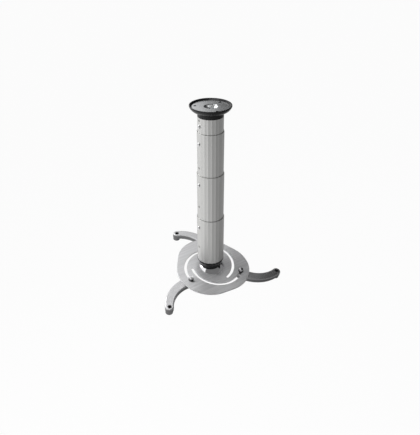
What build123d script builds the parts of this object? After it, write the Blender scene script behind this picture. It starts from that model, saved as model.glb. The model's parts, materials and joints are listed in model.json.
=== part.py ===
"""Telescopic ceiling mount for a projector.

Four nested fluted tubes hang from a round ceiling plate. A spherical hub under the lowest tube
carries a lobed plate with three curved slots, and an arm is clamped in each slot.
Millimetres, +Z up, origin on the column's axis in the upper face of the ceiling plate.
"""

import os
from math import cos, radians, sin, sqrt

from build123d import *

os.makedirs("parts", exist_ok=True)

# Fits: radial gaps
slide_fit = 0.10  # between nested tubes
turn_fit = 0.08  # round a turning shaft and in a spherical seat
fixed_fit = 0.05  # between pieces that are fixed to each other

# Ceiling plate and its cover
rim_r = 40.0
rim_wall = 1.8  # flat ring that meets the ceiling
rim_slope = 3.2  # sloping inside of the cover's edge
rim_band = 2.0  # upright edge of the cover
rim_round = 0.45
disc_recess = 3.0  # from the ceiling down to the plate
disc_t = 2.5
ledge_w = 2.0  # shelf in the cover that carries the plate's edge
dimple_r = 13.0
dimple_floor_r = 9.5
dimple_depth = 5.0
cover_floor_t = 1.6
cover_wall = 2.0
cover_neck_r = 27.0
cover_bulge = 1.6  # how far the bowl stands out of a straight cone
cover_room = 0.4  # round the pivot bolt in the cover
ceiling_pcd = 58.0
ceiling_holes = 3
ceiling_hole_r = 2.75
ceiling_turn = 54.0  # direction of the first ceiling hole

# Top pivot
pivot_r = 4.0
pivot_washer_r = 8.4
pivot_washer_t = 1.2
pivot_nut_af = 13.0
pivot_nut_h = 4.6
pivot_tail = 1.0  # bolt end above its nut
pivot_chamfer = 0.5
pivot_head_af = 13.0
pivot_head_h = 5.3
top_collar_h = 8.6
top_collar_round = 2.0
top_spigot_h = 3.0
top_plug_h = 24.0

# Column
tube_1_r = 25.0
tube_wall = 1.2
tube_lengths = (130.0, 125.0, 140.0, 109.0)
shown_lengths = (29.4, 88.0, 101.7)  # of each upper tube, above the next one's rim
flute_count = 22
flutes_left_out = 2  # room for the smooth strip
flute_width = 6.6
flute_r = 50.0
strip_turn = 211.0  # direction of the smooth strip
rim_chamfer = 0.35

# Screws in the smooth strip
lock_drop = 22.5  # from a tube's rim down to its lock screw
spare_drop = 72.5  # from a tube's rim down to its spare hole
spare_r = 2.0
lock_r = 2.5
lock_head_r = 3.6
lock_head_h = 1.9
lock_head_round = 0.9
drive_r = 1.5
drive_depth = 1.4
top_spare_drop = 5.0
top_screw_drop = 17.0
top_screw_tip_r = 10.0

# Base of the column
base_plug_h = 14.0
base_screw_rise = 7.0  # from the lowest tube's end up to the plug's screws
base_screw_turns = (60.0, 120.0)
base_screw_tip_r = 12.0
base_collar_band = 3.6
base_collar_crown = 12.3  # wall over the top of the spherical seat
seat_rim_r = 19.8
seat_rim_land = 4.9

# Spherical hub
ball_r = 38.5
dome_t = 2.5
dome_base_h = 26.5  # from the ball's centre up to the plate
dome_mouth_r = 13.0
spigot_r = 25.2
spigot_wall = 2.2
ring_width = 5.4
ring_t = 2.2
ring_land = 0.3  # spigot below its ring
tilt_forward = 7.8  # rest pose of the ball joint, towards -Y
tilt_side = 7.0  # rest pose of the ball joint, towards +X

# Clamp of the ball joint
clamp_r = 4.0
clamp_head_af = 13.0
clamp_head_h = 5.3
clamp_nut_h = 6.5
clamp_tail = 2.0
clamp_chamfer = 0.7
float_t = 2.0  # floating pressure ring under the dome
float_mouth_r = 10.8
float_r = 17.6
cup_r = 16.0
cup_rim_t = 1.6
spring_r = 9.0
spring_t = 1.0
spring_rise = 0.7

# Carrier plate
plate_t = 3.0
plate_edge = 0.4
lobe_r = 70.5
lobe_offset = 16.0
slot_offset = 11.1  # of a slot's arc centre from the plate's centre
slot_turn = 19.2  # direction of the first slot's arc centre
slot_r = 57.2
slot_inner = -160.0  # ends of a slot, about its arc centre
slot_outer = -12.0

# Arms
arm_length = 86.0  # from the clamp screw to the tip hole
arm_bend = 75.0  # change of direction along the arm
arm_foot_r = 11.5  # round the clamp screw
arm_tip_r = 9.0  # round the tip hole
arm_t = 10.5
arm_round = 2.4
arm_under_round = 0.8
arm_bore_r = 2.75
arm_cup_r = 4.5
arm_cup_depth = 6.0
tip_boss_r = 8.0
tip_boss_h = 7.5  # below the arm's underside
tip_bush_bore_r = 3.0
tip_bush_sink = 0.3  # below the arm's upper face
slot_stops = (-12.3, -31.0, -19.1)  # rest places of the clamp screws along their slots
arm_headings = (9.5, 37.0, 2.2)  # rest directions of the arms, from each third of the plate
thirds = (0.0, 120.0, 240.0)

# Arm clamp screws
stud_r = 2.95
stud_head_r = 4.4
stud_head_h = 6.0
stud_head_round = 0.6
stud_drive_r = 2.3
stud_drive_depth = 3.0
stud_washer_r = 5.6
stud_washer_t = 1.2
stud_nut_af = 10.0
stud_nut_h = 4.0
stud_nut_sink = 0.4  # above the arm's underside
stud_nut_room = 0.5
stud_chamfer = 0.7

# Levels and radii that follow
ceiling_z = disc_recess
disc_top = 0.0
disc_under = disc_top - disc_t
dimple_floor = disc_top - dimple_depth
dimple_under = dimple_floor - disc_t
cover_under = dimple_under - cover_floor_t
disc_r = rim_r - rim_wall - rim_slope
pivot_hole_r = pivot_r + turn_fit
tube_rs = [tube_1_r + n * (tube_wall + slide_fit) for n in range(len(tube_lengths))]
bore_rs = [r - tube_wall for r in tube_rs]
tube_tops = [cover_under - top_collar_h - sum(shown_lengths[:n]) for n in range(len(tube_lengths))]
column_end = tube_tops[-1] - tube_lengths[-1]
base_r = tube_rs[-1]
plug_top = column_end + base_plug_h
seat_r = ball_r + turn_fit
ball_z = column_end - base_collar_crown - seat_r
under_dome_r = ball_r - dome_t
float_top_r = under_dome_r - turn_fit
float_under_r = float_top_r - float_t
cup_top_r = float_under_r - turn_fit
plate_top = dome_base_h
plate_under = plate_top - plate_t
arm_under = plate_under - arm_t
slot_width = 2 * (stud_r + turn_fit)


def on_ball(radius, r):
    """Height above a ball's centre where a sphere of that radius is r from its axis."""
    return sqrt(radius**2 - r**2)


def ball_arc(radius, r_from, r_to):
    """Arc on a sphere about the sketch's origin, between two distances from its axis."""
    r_mid = (r_from + r_to) / 2
    points = [(r, on_ball(radius, r)) for r in (r_from, r_mid, r_to)]
    return ThreePointArc(*points)


def profile_plane(base):
    """Plane through the axis of a base plane, with its X outwards and its Y along the axis."""
    return Plane(base.origin, x_dir=base.x_dir, z_dir=-base.y_dir)


def axis_of(base):
    """Axis of a base plane."""
    return Axis(base.origin, base.z_dir)


def radial_plane(turn, z, out=0.0):
    """Plane facing outwards from the column's axis, at a height and a distance from the axis."""
    way = Vector(cos(radians(turn)), sin(radians(turn)), 0)
    return Plane(Vector(0, 0, z) + way * out, x_dir=(0, 0, 1), z_dir=way)


def polar(radius, turn):
    """Point at a distance and a direction from the sketch's origin."""
    return radius * cos(radians(turn)), radius * sin(radians(turn))


plate_face = Plane.XY
column_base = Plane((0, 0, column_end))
upright_ball = Plane((0, 0, ball_z))
swivel = upright_ball.rotated((0, tilt_side, 0))
hub = Plane(swivel.location * Rotation(tilt_forward, 0, 0))


# Round ceiling plate, pressed down in the middle
with BuildPart() as ceiling_plate:
    with BuildSketch(profile_plane(plate_face)):
        with BuildLine():
            Polyline(
                (pivot_hole_r, dimple_floor),
                (dimple_floor_r, dimple_floor),
                (dimple_r, disc_top),
                (disc_r - fixed_fit, disc_top),
                (disc_r - fixed_fit, disc_under),
                (dimple_r + disc_t / 2, disc_under),
                (dimple_floor_r + disc_t / 2, dimple_under),
                (pivot_hole_r, dimple_under),
                close=True,
            )
        make_face()
    revolve(axis=Axis.Z)
    with PolarLocations(ceiling_pcd / 2, ceiling_holes, start_angle=ceiling_turn):
        Hole(ceiling_hole_r, depth=disc_t)
ceiling_plate.part.label = "ceiling_plate"
export_step(ceiling_plate.part, "parts/ceiling_plate.step")

# Bowl-shaped cover round the ceiling plate
with BuildPart() as canopy:
    with BuildSketch(profile_plane(plate_face)):
        with BuildLine():
            flare_top = (rim_r, ceiling_z - rim_band)
            flare_end = (cover_neck_r, cover_under)
            flare_mid = (
                (flare_top[0] + flare_end[0]) / 2 + cover_bulge,
                (flare_top[1] + flare_end[1]) / 2 - cover_bulge,
            )
            Line((rim_r, ceiling_z), flare_top)
            ThreePointArc(flare_top, flare_mid, flare_end)
            Polyline(
                flare_end,
                (pivot_r + cover_room, cover_under),
                (pivot_r + cover_room, dimple_under),
                (cover_neck_r - cover_wall, dimple_under),
                (disc_r - ledge_w, disc_under),
                (disc_r, disc_under),
                (disc_r, disc_top),
                (rim_r - rim_wall, ceiling_z),
                (rim_r, ceiling_z),
            )
        make_face()
    revolve(axis=Axis.Z)
    fillet(canopy.edges().group_by(Axis.Z)[-1], rim_round)
canopy.part.label = "canopy"
export_step(canopy.part, "parts/canopy.step")

# Collar between the cover and the first tube
with BuildPart() as top_collar:
    with BuildSketch(plate_face.offset(tube_tops[0])):
        Circle(tube_rs[0])
    extrude(amount=top_collar_h)
    fillet(top_collar.edges().group_by(Axis.Z)[-1], top_collar_round)
    with BuildSketch(plate_face.offset(tube_tops[0])):
        Circle(bore_rs[0] - fixed_fit)
    extrude(amount=-top_spigot_h)
    with BuildSketch(plate_face.offset(cover_under)):
        Circle(pivot_r + fixed_fit)
    extrude(amount=-top_collar_h - top_spigot_h, mode=Mode.SUBTRACT)
top_collar.part.label = "top_collar"
export_step(top_collar.part, "parts/top_collar.step")

# Plug that holds the first tube on the pivot bolt
top_plug_top = tube_tops[0] - top_spigot_h
top_screw_turns = (strip_turn, strip_turn - 180)
with BuildPart() as top_plug:
    with BuildSketch(plate_face.offset(top_plug_top)):
        Circle(bore_rs[0] - fixed_fit)
        Circle(pivot_r + fixed_fit, mode=Mode.SUBTRACT)
    extrude(amount=-top_plug_h)
    for turn in top_screw_turns:
        with BuildSketch(radial_plane(turn, tube_tops[0] - top_screw_drop, top_screw_tip_r)):
            Circle(lock_r + fixed_fit)
        extrude(amount=bore_rs[0], mode=Mode.SUBTRACT)
top_plug.part.label = "top_plug"
export_step(top_plug.part, "parts/top_plug.step")

# Pivot bolt, its washer and its nut in the pressed middle of the ceiling plate
pivot_seat = dimple_floor + pivot_washer_t
with BuildPart() as pivot_bolt:
    with BuildSketch(plate_face.offset(top_plug_top - top_plug_h)):
        RegularPolygon(pivot_head_af / 2, 6, major_radius=False)
    extrude(amount=-pivot_head_h)
    with BuildSketch(plate_face.offset(top_plug_top - top_plug_h)):
        Circle(pivot_r)
    extrude(amount=pivot_seat + pivot_nut_h + pivot_tail - top_plug_top + top_plug_h)
    chamfer(pivot_bolt.edges().group_by(Axis.Z)[-1], pivot_chamfer)
pivot_bolt.part.label = "pivot_bolt"
export_step(pivot_bolt.part, "parts/pivot_bolt.step")

with BuildPart() as pivot_washer:
    with BuildSketch(plate_face.offset(dimple_floor)):
        Circle(pivot_washer_r)
        Circle(pivot_r + fixed_fit, mode=Mode.SUBTRACT)
    extrude(amount=pivot_washer_t)
pivot_washer.part.label = "pivot_washer"
export_step(pivot_washer.part, "parts/pivot_washer.step")

with BuildPart() as pivot_nut:
    with BuildSketch(plate_face.offset(pivot_seat)):
        RegularPolygon(pivot_nut_af / 2, 6, major_radius=False)
        Circle(pivot_r + fixed_fit, mode=Mode.SUBTRACT)
    extrude(amount=pivot_nut_h)
pivot_nut.part.label = "pivot_nut"
export_step(pivot_nut.part, "parts/pivot_nut.step")

# Four nested fluted tubes, each with a smooth strip for its screws
flute_pitch = 360 / flute_count
flute_run = flute_count - flutes_left_out
for number, (r, bore, top, length) in enumerate(zip(tube_rs, bore_rs, tube_tops, tube_lengths), 1):
    flute_axis = sqrt(r**2 - (flute_width / 2) ** 2) + sqrt(flute_r**2 - (flute_width / 2) ** 2)
    with BuildPart() as tube:
        with BuildSketch(plate_face.offset(top)):
            Circle(r)
            with PolarLocations(
                flute_axis,
                flute_run,
                start_angle=strip_turn + (flutes_left_out + 1) / 2 * flute_pitch,
                angular_range=(flute_run - 1) * flute_pitch,
                endpoint=True,
            ):
                Circle(flute_r, mode=Mode.SUBTRACT)
            Circle(bore, mode=Mode.SUBTRACT)
        extrude(amount=-length)
        chamfer(tube.faces().sort_by(Axis.Z)[-1].inner_wires()[0].edges(), rim_chamfer)
        if number == 1:
            cuts = [(strip_turn, top_spare_drop, spare_r)]
            cuts += [(turn, top_screw_drop, lock_r + fixed_fit) for turn in top_screw_turns]
        else:
            cuts = [(strip_turn, lock_drop, lock_r + fixed_fit), (strip_turn, spare_drop, spare_r)]
        if number == len(tube_lengths):
            cuts += [(turn, length - base_screw_rise, lock_r + fixed_fit) for turn in base_screw_turns]
        for turn, drop, hole_r in cuts:
            with BuildSketch(radial_plane(turn, top - drop)):
                Circle(hole_r)
            extrude(amount=2 * r, mode=Mode.SUBTRACT)
    tube.part.label = f"tube_{number}"
    export_step(tube.part, f"parts/tube_{number}.step")


def screw_places():
    """Each screw node's name with its tube's number, its shank's inner end and its places."""
    yield "top_plug_screws", 1, top_screw_tip_r, [(turn, top_screw_drop) for turn in top_screw_turns]
    for number in range(2, len(tube_lengths) + 1):
        yield f"lock_screw_{number}", number, bore_rs[number - 1], [(strip_turn, lock_drop)]
    base_drop = tube_lengths[-1] - base_screw_rise
    base_places = [(turn, base_drop) for turn in base_screw_turns]
    yield "base_plug_screws", len(tube_lengths), base_screw_tip_r, base_places


# Round-headed screws: two in each plug, and one that locks each tube on the next
for name, number, tip_r, places in screw_places():
    head_seat = tube_rs[number - 1]
    with BuildPart() as screws:
        for turn, drop in places:
            z = tube_tops[number - 1] - drop
            with BuildSketch(radial_plane(turn, z, tip_r)):
                Circle(lock_r)
            extrude(amount=head_seat - tip_r)
            with BuildSketch(radial_plane(turn, z, head_seat)):
                Circle(lock_head_r)
            extrude(amount=lock_head_h)
            outward = Axis((0, 0, z), radial_plane(turn, z).z_dir)
            fillet(screws.faces().sort_by(outward)[-1].edges(), lock_head_round)
            with BuildSketch(radial_plane(turn, z, head_seat + lock_head_h)):
                RegularPolygon(drive_r, 6)
            extrude(amount=-drive_depth, mode=Mode.SUBTRACT)
    screws.part.label = name
    export_step(screws.part, f"parts/{name}.step")

# Plug in the lowest tube, drilled for the clamp bolt and its own screws
with BuildPart() as base_plug:
    with BuildSketch(column_base):
        Circle(bore_rs[-1] - fixed_fit)
        Circle(clamp_r + fixed_fit, mode=Mode.SUBTRACT)
    extrude(amount=base_plug_h)
    for turn in base_screw_turns:
        with BuildSketch(radial_plane(turn, column_end + base_screw_rise, base_screw_tip_r)):
            Circle(lock_r + fixed_fit)
        extrude(amount=base_r, mode=Mode.SUBTRACT)
base_plug.part.label = "base_plug"
export_step(base_plug.part, "parts/base_plug.step")

# Tapered collar whose hollow underside is the seat of the dome
collar_top = column_end - ball_z
with BuildPart() as base_collar:
    with BuildSketch(profile_plane(upright_ball)):
        with BuildLine():
            seat = ball_arc(seat_r, clamp_r + fixed_fit, seat_rim_r)
            rim_out = (seat_rim_r + seat_rim_land, seat.position_at(1).Y)
            band_end = (base_r, collar_top - base_collar_band)
            Line(seat.position_at(1), rim_out)
            RadiusArc(rim_out, band_end, base_r)
            Polyline(
                band_end,
                (base_r, collar_top),
                (clamp_r + fixed_fit, collar_top),
                seat.position_at(0),
            )
        make_face()
    revolve(axis=axis_of(upright_ball))
base_collar.part.label = "base_collar"
export_step(base_collar.part, "parts/base_collar.step")

# Clamp of the ball joint: bolt, cup washer, disc springs and nut
cup_under = on_ball(cup_top_r, cup_r) - cup_rim_t
spring_h = spring_t + spring_rise
nut_top = cup_under - 2 * spring_h
with BuildPart() as clamp_bolt:
    with BuildSketch(Plane((0, 0, plug_top))):
        RegularPolygon(clamp_head_af / 2, 6, major_radius=False)
    extrude(amount=clamp_head_h)
    with BuildSketch(Plane((0, 0, plug_top))):
        Circle(clamp_r)
    extrude(amount=ball_z + nut_top - clamp_nut_h - clamp_tail - plug_top)
    chamfer(clamp_bolt.edges().group_by(Axis.Z)[0], clamp_chamfer)
clamp_bolt.part.label = "clamp_bolt"
export_step(clamp_bolt.part, "parts/clamp_bolt.step")

with BuildPart() as cup_washer:
    with BuildSketch(profile_plane(upright_ball)):
        with BuildLine():
            crown = ball_arc(cup_top_r, clamp_r + fixed_fit, cup_r)
            Polyline(
                crown.position_at(1),
                (cup_r, cup_under),
                (clamp_r + fixed_fit, cup_under),
                crown.position_at(0),
            )
        make_face()
    revolve(axis=axis_of(upright_ball))
cup_washer.part.label = "cup_washer"
export_step(cup_washer.part, "parts/cup_washer.step")

with BuildPart() as disc_springs:
    for low, inner_low, outer_low in ((nut_top, 0, spring_rise), (nut_top + spring_h, spring_rise, 0)):
        with BuildSketch(profile_plane(upright_ball)):
            with BuildLine():
                Polyline(
                    (clamp_r + fixed_fit, low + inner_low),
                    (spring_r, low + outer_low),
                    (spring_r, low + outer_low + spring_t - fixed_fit),
                    (clamp_r + fixed_fit, low + inner_low + spring_t - fixed_fit),
                    close=True,
                )
            make_face()
        revolve(axis=axis_of(upright_ball))
disc_springs.part.label = "disc_springs"
export_step(disc_springs.part, "parts/disc_springs.step")

with BuildPart() as clamp_nut:
    with BuildSketch(upright_ball.offset(nut_top)):
        RegularPolygon(clamp_head_af / 2, 6, major_radius=False)
        Circle(clamp_r + fixed_fit, mode=Mode.SUBTRACT)
    extrude(amount=-clamp_nut_h)
clamp_nut.part.label = "clamp_nut"
export_step(clamp_nut.part, "parts/clamp_nut.step")

# Floating pressure ring between the cup washer and the dome
with BuildPart() as pressure_ring:
    with BuildSketch(profile_plane(swivel)):
        with BuildLine():
            ring_top = ball_arc(float_top_r, float_mouth_r, float_r)
            ring_under = ball_arc(float_under_r, float_mouth_r, float_r)
            Line(ring_top.position_at(0), ring_under.position_at(0))
            Line(ring_top.position_at(1), ring_under.position_at(1))
        make_face()
    revolve(axis=axis_of(swivel))
pressure_ring.part.label = "pressure_ring"
export_step(pressure_ring.part, "parts/pressure_ring.step")

# Spun dome with the spigot that the plate turns on
spigot_end = plate_under - ring_t - ring_land
spigot_bore = spigot_r - spigot_wall
with BuildPart() as hub_dome:
    with BuildSketch(profile_plane(hub)):
        with BuildLine():
            outside = ball_arc(ball_r, dome_mouth_r, sqrt(ball_r**2 - dome_base_h**2))
            inside = ball_arc(under_dome_r, dome_mouth_r, spigot_bore)
            Line(outside.position_at(0), inside.position_at(0))
            Polyline(
                outside.position_at(1),
                (spigot_r, dome_base_h),
                (spigot_r, spigot_end),
                (spigot_bore, spigot_end),
                inside.position_at(1),
            )
        make_face()
    revolve(axis=axis_of(hub))
hub_dome.part.label = "hub_dome"
export_step(hub_dome.part, "parts/hub_dome.step")

with BuildPart() as retaining_ring:
    with BuildSketch(hub.offset(plate_under)):
        Circle(spigot_r + ring_width)
        Circle(spigot_r + fixed_fit, mode=Mode.SUBTRACT)
    extrude(amount=-ring_t)
retaining_ring.part.label = "retaining_ring"
export_step(retaining_ring.part, "parts/retaining_ring.step")

# Lobed plate with three curved slots
slot_lines = [
    CenterArc(polar(slot_offset, slot_turn + third), slot_r, slot_inner + third, slot_outer - slot_inner)
    for third in thirds
]
with BuildPart() as carrier_plate:
    with BuildSketch(hub.offset(plate_under)):
        with PolarLocations(lobe_offset, len(thirds)):
            Circle(lobe_r)
        make_hull()
        Circle(spigot_r + turn_fit, mode=Mode.SUBTRACT)
        for slot_line in slot_lines:
            SlotArc(slot_line, slot_width, mode=Mode.SUBTRACT)
    extrude(amount=plate_t)
    chamfer(carrier_plate.faces().sort_by(axis_of(hub))[-1].outer_wire().edges(), plate_edge)
carrier_plate.part.label = "carrier_plate"
export_step(carrier_plate.part, "parts/carrier_plate.step")

# Three bent arms, each with its tip's bush and the screw, washer and nut that clamp it in its slot
arm_curve = arm_length / 2 / sin(radians(arm_bend / 2))
arm_ends = (Vector(0, 0), Vector(arm_length, 0))


def arm_edge(side):
    """Foot, middle and tip of an arm's outer (1) or inner (-1) edge, an arc that both round ends touch."""
    radius = arm_curve + side * (arm_foot_r + arm_tip_r) / 2
    foot_reach, tip_reach = radius - side * arm_foot_r, radius - side * arm_tip_r
    along = (arm_length**2 + foot_reach**2 - tip_reach**2) / (2 * arm_length)
    centre = Vector(along, sqrt(foot_reach**2 - along**2))
    to_foot, to_tip = [(end - centre).normalized() for end in arm_ends]
    return [centre + way * radius for way in (to_foot, (to_foot + to_tip).normalized(), to_tip)]


outer_edge, inner_edge = arm_edge(1), arm_edge(-1)
foot_end = arm_ends[0] + Vector(*polar(arm_foot_r, 180 - arm_bend / 2))
tip_end = arm_ends[1] + Vector(*polar(arm_tip_r, arm_bend / 2))
cup_floor = plate_under - arm_cup_depth
stud_seat = plate_top + stud_washer_t
nut_under = arm_under + stud_nut_sink
nut_pocket_r = stud_nut_af / sqrt(3) + stud_nut_room
for number, (third, stop, heading) in enumerate(zip(thirds, slot_stops, arm_headings), 1):
    centre_x, centre_y = polar(slot_offset, slot_turn + third)
    reach_x, reach_y = polar(slot_r, stop + third)
    way_x, way_y = polar(1, heading + third)
    pin = hub.from_local_coords(Vector(centre_x + reach_x, centre_y + reach_y, 0))
    arm_frame = Plane(pin, x_dir=hub.x_dir * way_x + hub.y_dir * way_y, z_dir=hub.z_dir)

    with BuildPart() as arm:
        with BuildSketch(arm_frame.offset(arm_under)):
            with BuildLine():
                ThreePointArc(*outer_edge)
                ThreePointArc(*inner_edge)
                ThreePointArc(outer_edge[0], foot_end, inner_edge[0])
                ThreePointArc(outer_edge[-1], tip_end, inner_edge[-1])
            make_face()
        extrude(amount=arm_t)
        fillet(arm.faces().sort_by(axis_of(hub))[-1].edges(), arm_round)
        fillet(arm.faces().sort_by(axis_of(hub))[0].edges(), arm_under_round)
        with BuildSketch(arm_frame.offset(arm_under)):
            with Locations(arm_ends[1]):
                Circle(tip_boss_r)
        extrude(amount=-tip_boss_h)
        fillet(arm.faces().sort_by(axis_of(hub))[0].edges(), arm_under_round)
        with BuildSketch(arm_frame.offset(plate_under)):
            Circle(stud_r + turn_fit)
            with Locations(arm_ends[1]):
                Circle(arm_bore_r)
        extrude(amount=-arm_t - tip_boss_h, mode=Mode.SUBTRACT)
        with BuildSketch(arm_frame.offset(nut_under + stud_nut_h)):
            Circle(nut_pocket_r)
        extrude(amount=-stud_nut_h - stud_nut_sink, mode=Mode.SUBTRACT)
        with BuildSketch(arm_frame.offset(cup_floor)):
            with Locations(arm_ends[1]):
                Circle(arm_cup_r)
        extrude(amount=arm_cup_depth, mode=Mode.SUBTRACT)
    arm.part.label = f"arm_{number}"
    export_step(arm.part, f"parts/arm_{number}.step")

    with BuildPart() as tip_bush:
        with BuildSketch(arm_frame.offset(cup_floor)):
            with Locations(arm_ends[1]):
                Circle(arm_cup_r - fixed_fit)
                Circle(tip_bush_bore_r, mode=Mode.SUBTRACT)
        extrude(amount=arm_cup_depth - tip_bush_sink)
    tip_bush.part.label = f"tip_bush_{number}"
    export_step(tip_bush.part, f"parts/tip_bush_{number}.step")

    with BuildPart() as arm_screw:
        with BuildSketch(arm_frame.offset(stud_seat)):
            Circle(stud_r)
        extrude(amount=nut_under - stud_seat)
        chamfer(arm_screw.faces().sort_by(axis_of(hub))[0].edges(), stud_chamfer)
        with BuildSketch(arm_frame.offset(stud_seat)):
            Circle(stud_head_r)
        extrude(amount=stud_head_h)
        fillet(arm_screw.faces().sort_by(axis_of(hub))[-1].edges(), stud_head_round)
        with BuildSketch(arm_frame.offset(stud_seat + stud_head_h)):
            RegularPolygon(stud_drive_r, 6)
        extrude(amount=-stud_drive_depth, mode=Mode.SUBTRACT)
    arm_screw.part.label = f"arm_screw_{number}"
    export_step(arm_screw.part, f"parts/arm_screw_{number}.step")

    with BuildPart() as arm_washer:
        with BuildSketch(arm_frame.offset(plate_top)):
            Circle(stud_washer_r)
            Circle(stud_r + fixed_fit, mode=Mode.SUBTRACT)
        extrude(amount=stud_washer_t)
    arm_washer.part.label = f"arm_washer_{number}"
    export_step(arm_washer.part, f"parts/arm_washer_{number}.step")

    with BuildPart() as arm_nut:
        with BuildSketch(arm_frame.offset(nut_under)):
            RegularPolygon(stud_nut_af / 2, 6, major_radius=False)
            Circle(stud_r + fixed_fit, mode=Mode.SUBTRACT)
        extrude(amount=stud_nut_h)
    arm_nut.part.label = f"arm_nut_{number}"
    export_step(arm_nut.part, f"parts/arm_nut_{number}.step")
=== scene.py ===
"""Looks of a telescopic projector ceiling mount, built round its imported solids."""

import json
import logging
from dataclasses import dataclass
from enum import Enum
from math import cos, pi, radians, sin, sqrt
from typing import Sequence, Union

import bmesh
import bpy
from mathutils import Matrix, Vector


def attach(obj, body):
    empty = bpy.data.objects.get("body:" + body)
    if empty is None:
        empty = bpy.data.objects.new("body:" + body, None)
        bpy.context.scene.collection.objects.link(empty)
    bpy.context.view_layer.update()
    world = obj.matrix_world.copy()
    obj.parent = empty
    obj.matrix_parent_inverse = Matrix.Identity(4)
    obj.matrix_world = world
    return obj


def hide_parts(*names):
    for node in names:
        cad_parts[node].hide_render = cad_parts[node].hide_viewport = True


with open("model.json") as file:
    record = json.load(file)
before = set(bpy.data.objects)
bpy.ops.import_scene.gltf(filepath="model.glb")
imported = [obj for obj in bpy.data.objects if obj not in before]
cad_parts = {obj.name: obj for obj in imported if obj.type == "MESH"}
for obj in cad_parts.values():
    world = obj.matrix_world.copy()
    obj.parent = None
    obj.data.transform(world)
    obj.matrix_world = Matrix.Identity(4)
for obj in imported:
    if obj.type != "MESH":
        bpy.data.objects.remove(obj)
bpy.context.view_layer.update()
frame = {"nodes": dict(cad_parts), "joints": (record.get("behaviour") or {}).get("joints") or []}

MM = 0.001
WHITE = (1.0, 1.0, 1.0, 1.0)
log = logging.getLogger("projector_mount")

Colour = tuple[float, float, float]
Point = tuple[float, float]
Value = Union["Wire", float]


class Wire:
    """A shader socket that takes part in sums; each sum adds its Math node."""

    def __init__(self, sheet: "Sheet", socket: bpy.types.NodeSocket) -> None:
        """Wraps one output socket of a sheet."""
        self.sheet = sheet
        self.socket = socket

    def _math(self, operation: str, first: Value, second: Value) -> "Wire":
        """Adds one Math node.

        Args:
            operation: the node's operation.
            first: value or link of its upper input.
            second: value or link of its lower input.

        Returns:
            The node's result.
        """
        return self.sheet.node("ShaderNodeMath", {"operation": operation}, {0: first, 1: second})

    def __add__(self, other: Value) -> "Wire":
        """Sum."""
        return self._math("ADD", self, other)

    def __radd__(self, other: Value) -> "Wire":
        """Sum, reflected."""
        return self._math("ADD", other, self)

    def __sub__(self, other: Value) -> "Wire":
        """Difference."""
        return self._math("SUBTRACT", self, other)

    def __rsub__(self, other: Value) -> "Wire":
        """Difference, reflected."""
        return self._math("SUBTRACT", other, self)

    def __mul__(self, other: Value) -> "Wire":
        """Product."""
        return self._math("MULTIPLY", self, other)

    def __rmul__(self, other: Value) -> "Wire":
        """Product, reflected."""
        return self._math("MULTIPLY", other, self)

    def most(self, other: Value) -> "Wire":
        """The larger of two values."""
        return self._math("MAXIMUM", self, other)

    def above(self, other: Value) -> "Wire":
        """1 where this value is the larger one, 0 elsewhere."""
        return self._math("GREATER_THAN", self, other)

    def within(self, span: float) -> "Wire":
        """What is left over after whole spans are taken off."""
        return self._math("FLOORED_MODULO", self, span)


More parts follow.
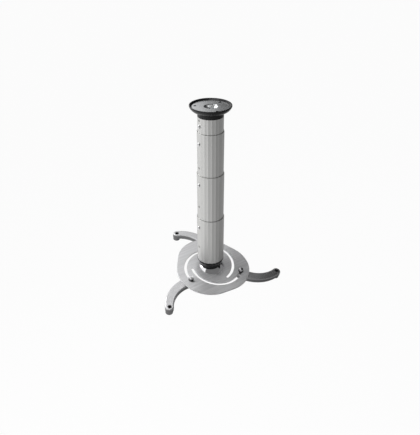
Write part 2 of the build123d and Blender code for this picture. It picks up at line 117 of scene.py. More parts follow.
class Sheet:
    """One node tree and the single way of adding nodes to it."""

    def __init__(self, tree: bpy.types.NodeTree) -> None:
        """Empties a node tree and takes it over."""
        self.tree = tree
        tree.nodes.clear()

    def node(self, kind: str, settings: dict | None = None, inputs: dict | None = None,
             out: int | str = 0) -> Wire | None:
        """Adds a node.

        Args:
            kind: the node's type.
            settings: its properties, or the stops of its ramp; they are set first.
            inputs: values or links of its sockets, by name or index.
            out: name or index of the output that is returned.

        Returns:
            The chosen output, or nothing for a node that has none.
        """
        made = self.tree.nodes.new(kind)
        for key, value in (settings or {}).items():
            if key == "stops":
                self._set_stops(made.color_ramp, value)
            else:
                setattr(made, key, value)
        for key, value in (inputs or {}).items():
            if isinstance(value, Wire):
                self.tree.links.new(value.socket, made.inputs[key])
            else:
                made.inputs[key].default_value = value
        return Wire(self, made.outputs[out]) if made.outputs else None

    @staticmethod
    def _set_stops(ramp: bpy.types.ColorRamp, stops: Sequence[Point]) -> None:
        """Sets a ramp's stops.

        Args:
            ramp: the node's ramp.
            stops: place and grey level of each stop, in order.
        """
        while len(ramp.elements) < len(stops):
            ramp.elements.new(1.0)
        for stop, (place, level) in zip(ramp.elements, stops):
            stop.position = place
            stop.color = (level, level, level, 1.0)

    def mix(self, factor: Value, first: Wire | Colour, second: Wire | Colour) -> Wire:
        """Mixes two colours.

        Args:
            factor: share of the second colour.
            first: colour at factor 0.
            second: colour at factor 1.

        Returns:
            The mixed colour.
        """
        ends = [c if isinstance(c, Wire) else (*c, 1.0) for c in (first, second)]
        return self.node("ShaderNodeMix", {"data_type": "RGBA"}, {0: factor, 6: ends[0], 7: ends[1]}, out=2)

    def place(self, at: Matrix) -> Wire:
        """Object coordinates, measured in a frame of the part's own.

        Args:
            at: the frame.

        Returns:
            Coordinates in that frame, in metres.
        """
        coords = self.node("ShaderNodeTexCoord", out="Object")
        return self.node("ShaderNodeMapping", {"vector_type": "TEXTURE"},
                         {"Vector": coords, "Location": tuple(at.translation), "Rotation": tuple(at.to_euler())})

    def stretch(self, coords: Wire, repeats: Sequence[float]) -> Wire:
        """Multiplies coordinates by repeats to the metre along each axis."""
        return self.node("ShaderNodeVectorMath", {"operation": "MULTIPLY"}, {0: coords, 1: tuple(repeats)})

    def distance(self, coords: Wire) -> Wire:
        """Distance from a frame's Z axis."""
        flat = self.stretch(coords, (1.0, 1.0, 0.0))
        return self.node("ShaderNodeVectorMath", {"operation": "LENGTH"}, {0: flat}, out="Value")

    def turn(self, coords: Wire) -> Wire:
        """Angle in radians round a frame's Z axis, from its X axis."""
        return self.node("ShaderNodeMath", {"operation": "ARCTAN2"},
                         {0: self.along(coords, "Y"), 1: self.along(coords, "X")})

    def noise(self, coords: Wire, repeats: float, detail: float = 2.0) -> Wire:
        """Noise between 0 and 1."""
        return self.node("ShaderNodeTexNoise", None, {"Vector": coords, "Scale": repeats, "Detail": detail})

    def rings(self, distance: Wire, repeats: float, detail: float = 3.0) -> Wire:
        """Noise between 0 and 1 along one value."""
        return self.node("ShaderNodeTexNoise", {"noise_dimensions": "1D"},
                         {"W": distance, "Scale": repeats, "Detail": detail})

    def ramp(self, value: Wire, *stops: Point) -> Wire:
        """Grey levels at places along a value."""
        return self.node("ShaderNodeValToRGB", {"stops": stops}, {0: value})

    def fade(self, value: Wire, start: Point, end: Point) -> Wire:
        """Even change from one level to another.

        Args:
            value: what the change follows.
            start: value and level where the change starts.
            end: value and level where it ends.

        Returns:
            The level.
        """
        return self.node("ShaderNodeMapRange", None, {
            "Value": value, "From Min": start[0], "From Max": end[0], "To Min": start[1], "To Max": end[1]})

    def along(self, coords: Wire, axis: str) -> Wire:
        """One of a place's coordinates, X, Y or Z."""
        return self.node("ShaderNodeSeparateXYZ", None, {"Vector": coords}, out=axis)


def tinted(colour: Colour, share: float) -> Colour:
    """A colour, lighter or darker.

    Args:
        colour: the colour.
        share: 1 leaves it as it is.

    Returns:
        The colour times the share.
    """
    return tuple(min(c * share, 1.0) for c in colour)


def new_material(name: str) -> tuple[bpy.types.Material, Sheet]:
    """Starts a material.

    Args:
        name: the material's name.

    Returns:
        The material and its empty sheet of nodes.
    """
    material = bpy.data.materials.new(name)
    material.use_nodes = True
    return material, Sheet(material.node_tree)


def new_object(bm: bmesh.types.BMesh, name: str) -> bpy.types.Object:
    """Turns a bmesh into an object of the scene.

    Args:
        bm: the mesh; it is freed.
        name: the name of the object and of its mesh.

    Returns:
        The object, at the origin.
    """
    mesh = bpy.data.meshes.new(name)
    bm.to_mesh(mesh)
    bm.free()
    made = bpy.data.objects.new(name, mesh)
    bpy.context.scene.collection.objects.link(made)
    return made


def joint(name: str) -> dict:
    """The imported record's joint of that name."""
    return next(j for j in frame["joints"] if j["name"] == name)


def hub_frame() -> Matrix:
    """Frame of the ball joint: origin in the ball's centre, Z along the plate's normal.

    Returns:
        The frame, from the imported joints.
    """
    normal = Vector(joint("plate_pan")["axis"]).normalized()
    side = Vector(joint("ball_tilt_forward")["axis"]).normalized()
    turned = Matrix((side, normal.cross(side), normal)).transposed().to_4x4()
    return Matrix.Translation(Vector(joint("plate_pan")["pos_m"])) @ turned


HUB = hub_frame()


@dataclass(frozen=True)
class Finish:
    """What every finish has: name, colour, shine and the depth of its marks."""

    name: str
    colour: Colour
    rough: float
    metallic: float = 1.0
    depth: float = 0.02 * MM
    at: Matrix = Matrix()
    coat: float = 0.0
    coat_rough: float = 0.06
    gloss: float = 0.5
    tints: Point = (0.9, 1.1)

    def material(self) -> bpy.types.Material:
        """Makes the finish's material.

        Returns:
            The material, with its patterns joined to one shader.
        """
        made, sheet = new_material(self.name)
        colour, rough, height = self.pattern(sheet, sheet.place(self.at))
        bump = sheet.node("ShaderNodeBump", None, {"Strength": 1.0, "Distance": self.depth, "Height": height})
        shader = sheet.node("ShaderNodeBsdfPrincipled", None, {
            "Base Color": colour, "Roughness": rough, "Normal": bump, "Metallic": self.metallic,
            "Specular IOR Level": self.gloss, "Coat Weight": self.coat, "Coat Roughness": self.coat_rough})
        sheet.node("ShaderNodeOutputMaterial", None, {"Surface": shader})
        return made

    def pattern(self, sheet: Sheet, coords: Wire) -> tuple[Wire, Wire, Wire]:
        """Patterns of the finish.

        Args:
            sheet: the material's nodes.
            coords: coordinates in the finish's frame.

        Returns:
            Base colour, roughness and height of the marks.
        """
        raise NotImplementedError

    def toned(self, sheet: Sheet, shade: Wire) -> Wire:
        """The finish's colour, from its darker to its lighter tint."""
        return sheet.mix(shade, *(tinted(self.colour, tint) for tint in self.tints))


@dataclass(frozen=True)
class DrawnTube(Finish):
    """Satin anodised extrusion with hollow flutes and draw lines along its length."""

    lines: float = 1400.0
    along: float = 5.0
    clouds: float = 22.0
    grains: float = 2600.0
    flutes: int = 22
    strip_flutes: int = 2
    strip_turn: float = 211.0
    hollow: float = 0.12 * MM

    def pattern(self, sheet: Sheet, coords: Wire) -> tuple[Wire, Wire, Wire]:
        """Draw lines along Z, soft clouds in the anodising, and flutes that are hollow but for the smooth strip."""
        pitch = 2 * pi / self.flutes
        past_strip = (sheet.turn(coords) - radians(self.strip_turn) + pitch * self.strip_flutes / 2).within(2 * pi)
        off_centre = past_strip.within(pitch) * (2 / pitch) - 1.0
        flute = off_centre * off_centre * past_strip.above(pitch * self.strip_flutes)
        streak = sheet.noise(sheet.stretch(coords, (self.lines, self.lines, self.along)), 1.0, 3.0)
        cloud = sheet.noise(coords, self.clouds)
        grain = sheet.noise(coords, self.grains)
        colour = self.toned(sheet, streak * 0.7 + cloud * 0.3)
        rough = self.rough + (streak - 0.5) * 0.16 + (cloud - 0.5) * 0.08
        return colour, rough, streak * 0.6 + grain * 0.4 + flute * (self.hollow / self.depth)


@dataclass(frozen=True)
class LineBrushed(Finish):
    """Sheet brushed in one direction."""

    heading: float = 0.0
    lines: float = 1100.0
    along: float = 14.0
    clouds: float = 14.0
    tints: Point = (0.82, 1.16)

    def pattern(self, sheet: Sheet, coords: Wire) -> tuple[Wire, Wire, Wire]:
        """Fine and coarse strokes along the heading."""
        turned = sheet.node("ShaderNodeVectorRotate", {"rotation_type": "Z_AXIS"},
                            {"Vector": coords, "Angle": -radians(self.heading)})
        fine = sheet.noise(sheet.stretch(turned, (self.along, self.lines, self.lines)), 1.0, 4.0)
        coarse = sheet.noise(sheet.stretch(turned, (self.along / 2, self.lines / 5, self.lines / 5)), 1.0, 2.0)
        cloud = sheet.noise(coords, self.clouds)
        stroke = fine * 0.6 + coarse * 0.4
        colour = self.toned(sheet, sheet.ramp(stroke, (0.3, 0.0), (0.7, 1.0)))
        rough = self.rough + (stroke - 0.5) * 0.3 + (cloud - 0.5) * 0.06
        return colour, rough, stroke


@dataclass(frozen=True)
class Turned(Finish):
    """Metal with the rings that a lathe or a spun brush leaves."""

    lines: float = 1600.0
    clouds: float = 45.0
    tints: Point = (0.86, 1.12)

    def pattern(self, sheet: Sheet, coords: Wire) -> tuple[Wire, Wire, Wire]:
        """Rings round the frame's axis, broken by soft clouds."""
        ring = sheet.rings(sheet.distance(coords), self.lines)
        cloud = sheet.noise(coords, self.clouds)
        colour = self.toned(sheet, ring * 0.7 + cloud * 0.3)
        rough = self.rough + (ring - 0.5) * 0.14 + (cloud - 0.5) * 0.08
        return colour, rough, ring


@dataclass(frozen=True)
class Polished(Finish):
    """Bright plated metal with hairline scratches and a trace of handling."""

    scratches: float = 900.0
    smears: float = 55.0
    tints: Point = (0.94, 1.04)

    def pattern(self, sheet: Sheet, coords: Wire) -> tuple[Wire, Wire, Wire]:
        """Sparse hairlines and soft smears."""
        hair = sheet.noise(sheet.stretch(coords, (self.scratches, self.scratches / 30, self.scratches / 2)), 1.0, 4.0)
        line = sheet.ramp(hair, (0.62, 0.0), (0.7, 1.0))
        smear = sheet.noise(coords, self.smears, 3.0)
        colour = self.toned(sheet, smear)
        rough = self.rough + line * 0.05 + smear * 0.05
        return colour, rough, 1.0 - line


@dataclass(frozen=True)
class Plated(Finish):
    """Zinc plate: mottled, with a faint cool and warm tint."""

    mottle: float = 260.0
    cool: Colour = (0.9, 0.92, 0.95)
    warm: Colour = (1.1, 1.08, 1.02)

    def pattern(self, sheet: Sheet, coords: Wire) -> tuple[Wire, Wire, Wire]:
        """Mottle in colour and shine."""
        patch = sheet.noise(coords, self.mottle, 3.0)
        speck = sheet.noise(coords, self.mottle * 9.0)
        ends = [tuple(c * share for c, share in zip(self.colour, tint)) for tint in (self.cool, self.warm)]
        colour = sheet.mix(patch, *ends)
        rough = self.rough + (patch - 0.5) * 0.2 + (speck - 0.5) * 0.1
        return colour, rough, patch * 0.5 + speck * 0.5


@dataclass(frozen=True)
class CastingWithPaintedSideShade(Finish):
    """Casting with fine-cut upper faces: full colour on top and on its rounded edge; the sides are matt, and their
    colour is darkened to a share of the top's as painted shade.
    """

    # share of the top's colour that the sides keep: painted shade
    side_shade_share: float = 0.29
    side_rough: float = 0.16
    side_shade_tints: Point = (0.8, 1.2)
    edge_low: float = 21.0 * MM
    edge_high: float = 22.6 * MM
    flake: float = 5200.0
    peel: float = 620.0
    clouds: float = 30.0

    def pattern(self, sheet: Sheet, coords: Wire) -> tuple[Wire, Wire, Wire]:
        """Top colour over sides darkened with painted shade, with flake in the colour and peel in the height."""
        flake = sheet.node("ShaderNodeTexVoronoi", None, {"Vector": coords, "Scale": self.flake}, out="Color")
        level = sheet.node("ShaderNodeRGBToBW", None, {"Color": flake})
        peel = sheet.noise(coords, self.peel)
        cloud = sheet.noise(coords, self.clouds)
        top = sheet.fade(sheet.along(coords, "Z"), (self.edge_low, 0.0), (self.edge_high, 1.0))
        shade = level * 0.6 + cloud * 0.4
        bright = self.toned(sheet, shade)
        # painted shade: the sides get a darkened copy of the top's colour
        painted_shade_sides = sheet.mix(shade, *(tinted(self.colour, self.side_shade_share * tint) for tint in self.side_shade_tints))
        rough = self.rough + (level - 0.5) * 0.1 + (cloud - 0.5) * 0.08 + (1.0 - top) * self.side_rough
        return sheet.mix(top, painted_shade_sides, bright), rough, peel


@dataclass(frozen=True)
class Moulded(Finish):
    """Moulded plastic: fine surface waviness, a little dust and rub marks."""

    wave: float = 240.0
    dust: float = 0.05
    dust_colour: Colour = (0.6, 0.6, 0.58)
    specks: float = 2400.0
    patches: float = 40.0

    def pattern(self, sheet: Sheet, coords: Wire) -> tuple[Wire, Wire, Wire]:
        """Dust in the colour, rubbed patches in the shine, waviness in the height."""
        speck = sheet.ramp(sheet.noise(coords, self.specks, 1.0), (0.68, 0.0), (0.76, 1.0))
        patch = sheet.noise(coords, self.patches, 4.0)
        wave = sheet.noise(coords, self.wave)
        fleck = sheet.mix(speck * patch * self.dust, self.colour, self.dust_colour)
        rough = self.rough + (patch - 0.4) * 0.14 + speck * 0.1
        return fleck, rough, wave


class FinishBook(Enum):
    """The mount's finishes."""

    TUBE = DrawnTube("satin_tube", (0.62, 0.62, 0.61), 0.42)
    PLATE = LineBrushed("brushed_plate", (0.6, 0.6, 0.61), 0.4, metallic=0.62, at=HUB, heading=35.0)
    DISC = Turned("satin_disc", (0.6, 0.61, 0.62), 0.2)
    DOME = Polished("polished_dome", (0.9, 0.9, 0.91), 0.04, depth=0.004 * MM, at=HUB)
    ARM = CastingWithPaintedSideShade("casting_painted_side_shade", (0.62, 0.62, 0.63), 0.3, at=HUB)
    SCREW = Polished("bright_screw", (0.78, 0.78, 0.79), 0.14, depth=0.008 * MM)
    ZINC = Plated("zinc_plate", (0.55, 0.56, 0.57), 0.36)
    SPRING = Plated("blued_spring", (0.2, 0.2, 0.24), 0.32)
    PLUG = Turned("turned_plug", (0.5, 0.5, 0.51), 0.4)
    BLACK = Moulded("black_moulding", (0.009, 0.009, 0.01), 0.2, metallic=0.0, coat=0.06, gloss=0.24)
    WASHER = Moulded("black_washer", (0.02, 0.02, 0.021), 0.5, metallic=0.0, wave=900.0)
    NYLON = Moulded("natural_nylon", (0.62, 0.61, 0.56), 0.45, metallic=0.0, wave=700.0)


class Wardrobe:
    """Makes each finish's material once and puts it on objects."""

    def __init__(self) -> None:
        """Starts with no material made."""
        self.made: dict[FinishBook, bpy.types.Material] = {}

    def material(self, finish: FinishBook) -> bpy.types.Material:
        """The material of a finish."""
        if finish not in self.made:
            self.made[finish] = finish.value.material()
        return self.made[finish]

    def put_on(self, finish: FinishBook, *nodes: str) -> None:
        """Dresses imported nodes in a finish.

        Args:
            finish: the finish.
            nodes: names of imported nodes.
        """
        for node in nodes:
            self.wear(frame["nodes"][node], finish)
            log.info("dressed %s in %s", node, finish.value.name)

    def wear(self, piece: bpy.types.Object, finish: FinishBook) -> None:
        """Gives one object a finish as its only material."""
        piece.data.materials.clear()
        piece.data.materials.append(self.material(finish))


@dataclass(frozen=True)
class CapScrew:
    """Sizes of a clamp screw in millimetres, with heights above the ball's centre."""

    seat: float = 27.7
    head_r: float = 4.4
    head_h: float = 6.0
    edge_round: float = 0.6
    teeth: int = 40
    knurl_depth: float = 0.16
    key_r: float = 2.3
    key_depth: float = 3.0
    shank_r: float = 2.95
    end: float = 13.4
    chamfer: float = 0.7


class Workshop:
    """Mesh tools: nuts and knurled screws made with bmesh operators."""

    HEX_SIDES = 6
    BORE_SIDES = 24
    CHAMFER_CUTS = 24
    CHAMFER_SLOPE = radians(30)
    CHAMFER_REACH = 0.485  # from the axis to the chamfer's start, as a share of the width across the flats
    ROUND_STEPS = 3
    SHARP = radians(32)  # edges above this angle stay sharp
    WELD = 1e-5

    @classmethod
    def finished(cls, bm: bmesh.types.BMesh, name: str, at: Matrix) -> bpy.types.Object:
        """Welds, places and smooths a modelled piece.

        Args:
            bm: the mesh, in millimetres in its own frame; it is freed.
            name: the object's name.
            at: the frame.

        Returns:
            The object, at the origin with its place in its mesh.
        """
        bmesh.ops.remove_doubles(bm, verts=bm.verts, dist=cls.WELD)
        bmesh.ops.recalc_face_normals(bm, faces=bm.faces)
        bmesh.ops.transform(bm, matrix=at @ Matrix.Scale(MM, 4), verts=bm.verts)
        piece = new_object(bm, name)
        piece.data.shade_smooth()
        piece.data.set_sharp_from_angle(angle=cls.SHARP)
        return piece

    @classmethod
    def nut(cls, bm: bmesh.types.BMesh, flats: float, bore: float, low: float, high: float) -> None:
        """Adds a hexagon nut with chamfered corners to a bmesh.

        Args:
            bm: the mesh.
            flats: width across the flats.
            bore: radius of its hole.
            low: height of its lower face.
            high: height of its upper face.
        """
        corner_r = flats / sqrt(3)
        outside = cls.circle(bm, cls.HEX_SIDES, corner_r, low)
        bmesh.ops.rotate(bm, verts=outside, cent=(0, 0, 0), matrix=Matrix.Rotation(pi / cls.HEX_SIDES, 3, "Z"))
        inside = cls.circle(bm, cls.BORE_SIDES, bore, low)
        faces = bmesh.ops.bridge_loops(bm, edges=cls.rim(outside) + cls.rim(inside))["faces"]
        raised = bmesh.ops.extrude_face_region(bm, geom=faces, use_keep_orig=True)["geom"]
        bmesh.ops.translate(bm, verts=[g for g in raised if isinstance(g, bmesh.types.BMVert)], vec=(0, 0, high - low))
        bmesh.ops.recalc_face_normals(bm, faces=bm.faces)
        slope, reach = cls.CHAMFER_SLOPE, flats * cls.CHAMFER_REACH
        for level, way in ((high, 1), (low, -1)):
            for cut in range(cls.CHAMFER_CUTS):
                turn = 2 * pi * (cut + 0.5) / cls.CHAMFER_CUTS
                normal = Vector((sin(slope) * cos(turn), sin(slope) * sin(turn), way * cos(slope)))
                edge = Vector((reach * cos(turn), reach * sin(turn), level))
                cls._slice(bm, edge, normal)

    @staticmethod
    def _slice(bm: bmesh.types.BMesh, at: Vector, normal: Vector) -> None:
        """Cuts off what lies beyond a plane and closes the cut.

        Args:
            bm: the mesh.
            at: a point of the plane.
            normal: the plane's normal, towards what goes.
        """
        parts = [*bm.verts, *bm.edges, *bm.faces]
        cut = bmesh.ops.bisect_plane(bm, geom=parts, plane_co=at, plane_no=normal, clear_outer=True)["geom_cut"]
        rim = [g for g in cut if isinstance(g, bmesh.types.BMEdge)]
        if rim:
            bmesh.ops.contextual_create(bm, geom=rim)

    @staticmethod
    def circle(bm: bmesh.types.BMesh, sides: int, radius: float, level: float) -> list[bmesh.types.BMVert]:
        """Adds a ring of vertices round the axis.

        Args:
            bm: the mesh.
            sides: how many vertices.
            radius: their distance from the axis.
            level: their height.

        Returns:
            The vertices, in order round the axis.
        """
        ring = bmesh.ops.create_circle(bm, segments=sides, radius=radius)["verts"]
        bmesh.ops.translate(bm, verts=ring, vec=(0, 0, level))
        return ring

    @staticmethod
    def rim(ring: Sequence[bmesh.types.BMVert]) -> list[bmesh.types.BMEdge]:
        """The edges that join a ring's own vertices."""
        return list({edge for vert in ring for edge in vert.link_edges if set(edge.verts) <= set(ring)})

    @classmethod
    def drawn_out(cls, bm: bmesh.types.BMesh, ring: Sequence[bmesh.types.BMVert], share: float,
                  rise: float) -> list[bmesh.types.BMVert]:
        """Extrudes a ring along the axis.

        Args:
            bm: the mesh.
            ring: the ring's vertices.
            share: the new ring's radius, as a share of the old one's.
            rise: from the old ring up to the new one.

        Returns:
            The new ring's vertices.
        """
        grown = bmesh.ops.extrude_edge_only(bm, edges=cls.rim(ring))["geom"]
        fresh = [g for g in grown if isinstance(g, bmesh.types.BMVert)]
        bmesh.ops.scale(bm, verts=fresh, vec=(share, share, 1.0))
        bmesh.ops.translate(bm, verts=fresh, vec=(0, 0, rise))
        return fresh

    @classmethod
    def cap_screw(cls, bm: bmesh.types.BMesh, screw: CapScrew) -> None:
        """Adds a cap screw with a knurled head and a hexagon socket to a bmesh.

        Args:
            bm: the mesh.
            screw: the screw's sizes.
        """
        sides = 2 * screw.teeth
        head = cls.circle(bm, sides, screw.head_r, screw.seat)
        valley = 1.0 - screw.knurl_depth / screw.head_r
        bmesh.ops.scale(bm, verts=head[::2], vec=(valley, valley, 1.0))
        shank = cls.circle(bm, sides, screw.shank_r, screw.seat)
        bmesh.ops.bridge_loops(bm, edges=cls.rim(head) + cls.rim(shank))
        end = cls.drawn_out(bm, shank, 1.0, screw.end + screw.chamfer - screw.seat)
        end = cls.drawn_out(bm, end, 1.0 - screw.chamfer / screw.shank_r, -screw.chamfer)
        bmesh.ops.contextual_create(bm, geom=cls.rim(end))
        top = cls.drawn_out(bm, head, 1.0, screw.head_h - screw.edge_round)
        radius, level = screw.head_r, 0.0
        for step in range(1, cls.ROUND_STEPS + 1):
            turn = step * pi / 2 / cls.ROUND_STEPS
            narrow, rise = screw.head_r - screw.edge_round * (1 - cos(turn)), screw.edge_round * sin(turn)
            top = cls.drawn_out(bm, top, narrow / radius, rise - level)
            radius, level = narrow, rise
        mouth = cls.circle(bm, cls.HEX_SIDES, screw.key_r, screw.seat + screw.head_h)
        bmesh.ops.bridge_loops(bm, edges=cls.rim(top) + cls.rim(mouth))
        floor = cls.drawn_out(bm, mouth, 1.0, -screw.key_depth)
        bmesh.ops.contextual_create(bm, geom=cls.rim(floor))


def show(piece: bpy.types.Object, body: str, slot: str, *nodes: str) -> bpy.types.Object:
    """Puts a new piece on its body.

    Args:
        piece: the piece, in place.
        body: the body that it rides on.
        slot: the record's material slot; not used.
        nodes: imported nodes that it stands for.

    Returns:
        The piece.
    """
    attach(piece, body)
    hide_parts(*nodes)
    log.info("built %s on %s", piece.name, body)
    return piece


@dataclass
class CeilingDish:
    """Ceiling plate, its cover, and the pivot that the column turns on."""

    wardrobe: Wardrobe
    nut_flats: float = 13.0
    pivot_r: float = 4.0
    nut_fit: float = 0.05
    nut_low: float = -3.8
    nut_high: float = 0.8

    def build(self) -> None:
        """Models the chamfered pivot nut."""
        bm = bmesh.new()
        Workshop.nut(bm, self.nut_flats, self.pivot_r + self.nut_fit, self.nut_low, self.nut_high)
        nut = Workshop.finished(bm, "pivot_nut_chamfered", Matrix())
        self.wardrobe.wear(show(nut, "column_top", "zinc_steel", "pivot_nut"), FinishBook.ZINC)

    def dress(self) -> None:
        """Dresses the dish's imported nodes."""
        self.wardrobe.put_on(FinishBook.DISC, "ceiling_plate")
        self.wardrobe.put_on(FinishBook.BLACK, "canopy")
        self.wardrobe.put_on(FinishBook.ZINC, "pivot_bolt", "pivot_washer")


@dataclass
class Column:
    """Collars, plugs, nested tubes and their screws."""

    wardrobe: Wardrobe

    def build(self) -> None:
        """The column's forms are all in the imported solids."""

    def dress(self) -> None:
        """Dresses the column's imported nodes."""
        self.wardrobe.put_on(FinishBook.BLACK, "top_collar", "base_collar")
        self.wardrobe.put_on(FinishBook.PLUG, "top_plug", "base_plug")
        self.wardrobe.put_on(FinishBook.TUBE, "tube_1", "tube_2", "tube_3", "tube_4")
        self.wardrobe.put_on(FinishBook.SCREW, "top_plug_screws", "lock_screw_2", "lock_screw_3", "lock_screw_4",
                             "base_plug_screws")


@dataclass
class BallJoint:
    """Dome, its clamp, and the lobed plate that turns on it."""

    wardrobe: Wardrobe

    def build(self) -> None:
        """The ball joint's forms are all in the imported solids."""

    def dress(self) -> None:
        """Dresses the ball joint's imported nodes."""
        self.wardrobe.put_on(FinishBook.DOME, "hub_dome")
        self.wardrobe.put_on(FinishBook.ZINC, "clamp_bolt", "cup_washer", "clamp_nut", "retaining_ring")
        self.wardrobe.put_on(FinishBook.SPRING, "disc_springs")
        self.wardrobe.put_on(FinishBook.NYLON, "pressure_ring")
        self.wardrobe.put_on(FinishBook.PLATE, "carrier_plate")


@dataclass
class ClampArm:
    """One bent arm with the screw, washer and nut that clamp it in its slot."""

    wardrobe: Wardrobe
    number: int
    screw: CapScrew = CapScrew()
    nut_flats: float = 10.0
    nut_low: float = 13.4
    nut_high: float = 17.4
    bore_r: float = 3.0

    def build(self) -> None:
        """Models the arm's knurled clamp screw and its chamfered nut."""
        foot = HUB.inverted() @ Vector(joint(f"arm_{self.number}_swing")["pos_m"])
        foot.z = 0.0
        at = HUB @ Matrix.Translation(foot)
        bm = bmesh.new()
        Workshop.cap_screw(bm, self.screw)
        self._add(Workshop.finished(bm, f"arm_screw_{self.number}_knurled", at), f"arm_screw_{self.number}")
        bm = bmesh.new()
        Workshop.nut(bm, self.nut_flats, self.bore_r, self.nut_low, self.nut_high)
        self._add(Workshop.finished(bm, f"arm_nut_{self.number}_chamfered", at), f"arm_nut_{self.number}")

    def _add(self, piece: bpy.types.Object, node: str) -> None:
        """Puts a bright piece on the arm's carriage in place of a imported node."""
        show(piece, f"carriage_{self.number}", "bright_steel", node)
        self.wardrobe.wear(piece, FinishBook.SCREW)

    def dress(self) -> None:
        """Dresses the arm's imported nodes."""
        self.wardrobe.put_on(FinishBook.ARM, f"arm_{self.number}")
        self.wardrobe.put_on(FinishBook.WASHER, f"arm_washer_{self.number}", f"tip_bush_{self.number}")


@dataclass
class Lamp:
    """One soft area lamp."""

    name: str
    place: Sequence[float]
    aim: Sequence[float]
    size: float
    watts: float
    mirrored: bool = True

    def build(self) -> None:
        """Hangs the lamp and points it; a lamp that isn't mirrored makes no highlight."""
        data = bpy.data.lights.new(self.name, "AREA")
        data.shape, data.size, data.energy = "DISK", self.size, self.watts
        lamp = bpy.data.objects.new(self.name, data)
        lamp.location = self.place
        lamp.rotation_euler = (Vector(self.aim) - Vector(self.place)).to_track_quat("-Z", "Y").to_euler()
        lamp.visible_glossy = self.mirrored
        bpy.context.scene.collection.objects.link(lamp)


@dataclass
class Card:
    """One card beside the set, graded along a heading and seen only in reflections.

    Its bright and dark ends each give a place along the heading and the grey level there.
    """

    name: str
    centre: Sequence[float]
    facing: Sequence[float]
    half: Point
    bright: Point
    dark: Point
    heading: Sequence[float] = (1.0, 0.0, 0.0)

    def build(self) -> None:
        """Hangs the card."""
        bm = bmesh.new()
        bmesh.ops.create_grid(bm, x_segments=1, y_segments=1, size=1.0)
        bmesh.ops.scale(bm, verts=bm.verts, vec=(*self.half, 1.0))
        turned = Vector(self.facing).to_track_quat("Z", "Y").to_matrix().to_4x4()
        bmesh.ops.transform(bm, verts=bm.verts, matrix=Matrix.Translation(self.centre) @ turned)
        card = new_object(bm, self.name)
        card.visible_camera = card.visible_diffuse = card.visible_shadow = False
        material, sheet = new_material(self.name)
        level = sheet.fade(self.course(sheet, sheet.place(Matrix())), self.bright, self.dark)
        grey = sheet.node("ShaderNodeEmission", None, {"Color": level, "Strength": 1.0})
        sheet.node("ShaderNodeOutputMaterial", None, {"Surface": grey})
        card.data.materials.append(material)

    def course(self, sheet: Sheet, place: Wire) -> Wire:
        """How far a place lies along the card's heading."""
        return sheet.node("ShaderNodeVectorMath", {"operation": "DOT_PRODUCT"},
                          {0: place, 1: tuple(self.heading)}, out="Value")


@dataclass
class FanCard(Card):
    """A flat card graded round the column's axis, so that each tube shows it alike."""

    def course(self, sheet: Sheet, place: Wire) -> Wire:
        """Sine of a place's angle round the axis, from the camera's side."""
        flat = sheet.node("ShaderNodeVectorMath", {"operation": "NORMALIZE"},
                          {0: sheet.stretch(place, (1.0, 1.0, 0.0))})
        return super().course(sheet, flat)


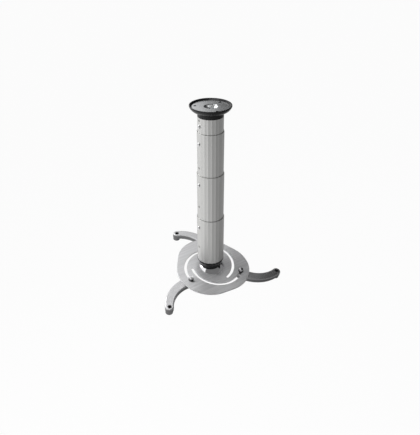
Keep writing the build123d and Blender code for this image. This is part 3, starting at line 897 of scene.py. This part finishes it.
@dataclass
class Studio:
    """Pale floor, white surroundings, soft lamps, graded cards and the photograph's camera."""

    floor_z: float = -1.4
    floor_half: float = 24.0
    floor_colour: Colour = (0.9, 0.9, 0.9)
    floor_glow: float = 0.955
    light_level: float = 0.3
    cards: Sequence[Card] = (
        FanCard("floor_card", centre=(0.0, 0.0, -0.6), facing=(0, 0, 1), half=(4.0, 4.0),
                bright=(-0.94, 1.0), dark=(1.0, 0.32)),
        Card("top_card", centre=(0.0, 2.1, 1.25), facing=(0, 0, -1), half=(4.0, 1.9),
             bright=(0.32, 1.0), dark=(0.54, 0.0)),
        Card("crown_card", centre=(0.0, -1.9, 1.25), facing=(0, 0, -1), half=(4.0, 2.1),
             bright=(-0.52, 1.0), dark=(-0.36, 0.16), heading=(0.803, -0.596, 0.0)),
        Card("back_card", centre=(0.0, 2.6, 0.9), facing=(0, -1, 0), half=(4.0, 1.5),
             bright=(-0.52, 1.0), dark=(-0.33, 0.04), heading=(0.9, 0.0, -0.436)),
        Card("low_card", centre=(-0.9, 2.5, -0.3), facing=(0, -1, 0), half=(0.35, 0.25),
             bright=(-1.0, 1.0), dark=(0.0, 1.0)),
        Card("front_card", centre=(0.0, -2.5, 1.5), facing=(0, 1, 0), half=(6.0, 3.0),
             bright=(-3.2, 1.0), dark=(-2.0, 0.2)),
        Card("right_card", centre=(3.0, 0.0, 0.9), facing=(-1, 0, 0), half=(4.0, 4.0),
             bright=(0.0, 0.2), dark=(1.0, 0.2)),
    )
    lamps: Sequence[Lamp] = (
        Lamp("key_lamp", place=(-0.95, -0.05, 0.3), aim=(0.0, 0.0, -0.3), size=1.0, watts=15.0, mirrored=False),
        Lamp("edge_lamp", place=(-0.85, 0.4, 0.36), aim=(0.0, 0.0, -0.1), size=0.45, watts=4.0),
        Lamp("top_lamp", place=(-0.2, -0.1, 1.1), aim=(0.0, 0.0, -0.1), size=0.7, watts=3.0),
    )
    camera_at: Sequence[float] = (-0.0011, -0.798, 0.2754)
    camera_pitch: float = 33.01
    focal_px: float = 447.0
    image_px: Sequence[float] = (420.0, 435.0)
    sensor: float = 36.0

    def build(self) -> None:
        """Sets up floor, surroundings, lamps and camera."""
        bpy.context.scene.view_settings.view_transform = "Standard"
        self._floor()
        self._surroundings()
        for item in (*self.lamps, *self.cards):
            item.build()
        self._camera()

    def dress(self) -> None:
        """The studio's finishes are set as it is built."""

    @staticmethod
    def _seen(sheet: Sheet) -> Wire:
        """1 for what the camera sees straight, in a mirror or through glass."""
        path = [sheet.node("ShaderNodeLightPath", out=ray)
                for ray in ("Is Camera Ray", "Is Glossy Ray", "Is Transmission Ray")]
        return path[0].most(path[1]).most(path[2])

    def _floor(self) -> None:
        """Lays a plain white floor that keeps a soft shadow."""
        bm = bmesh.new()
        bmesh.ops.create_grid(bm, x_segments=1, y_segments=1, size=self.floor_half)
        bmesh.ops.translate(bm, verts=bm.verts, vec=(0, 0, self.floor_z))
        floor = new_object(bm, "floor")
        material, sheet = new_material("white_floor")
        matt = sheet.node("ShaderNodeBsdfDiffuse", None, {"Color": (*self.floor_colour, 1.0)})
        glow = sheet.node("ShaderNodeEmission", None, {"Color": WHITE, "Strength": 1.0})
        share = self._seen(sheet) * self.floor_glow
        both = sheet.node("ShaderNodeMixShader", None, {0: share, 1: matt, 2: glow})
        sheet.node("ShaderNodeOutputMaterial", None, {"Surface": both})
        floor.data.materials.append(material)

    def _surroundings(self) -> None:
        """White all round to the eye, a plain low level as light."""
        world = bpy.data.worlds.new("studio")
        world.use_nodes = True
        bpy.context.scene.world = world
        sheet = Sheet(world.node_tree)
        seen = self._seen(sheet)
        level = seen + (1.0 - seen) * self.light_level
        white = sheet.node("ShaderNodeBackground", None, {"Color": WHITE, "Strength": level})
        sheet.node("ShaderNodeOutputWorld", None, {"Surface": white})

    def _camera(self) -> None:
        """Places the camera as the photograph was taken."""
        data = bpy.data.cameras.new("photo_camera")
        data.sensor_width = self.sensor
        data.lens = self.sensor * self.focal_px / max(self.image_px)
        camera = bpy.data.objects.new("photo_camera", data)
        camera.location = self.camera_at
        camera.rotation_euler = (radians(90.0 - self.camera_pitch), 0.0, 0.0)
        bpy.context.scene.collection.objects.link(camera)
        bpy.context.scene.camera = camera


def main() -> None:
    """Builds and dresses the mount from the ceiling down, then sets the studio round it."""
    logging.basicConfig(level=logging.INFO, format="%(message)s")
    wardrobe = Wardrobe()
    arms = [ClampArm(wardrobe, number) for number in (1, 2, 3)]
    for assembly in (CeilingDish(wardrobe), Column(wardrobe), BallJoint(wardrobe), *arms, Studio()):
        assembly.build()
        assembly.dress()
        log.info("%s is ready", type(assembly).__name__)


if __name__ == "__main__":
    main()
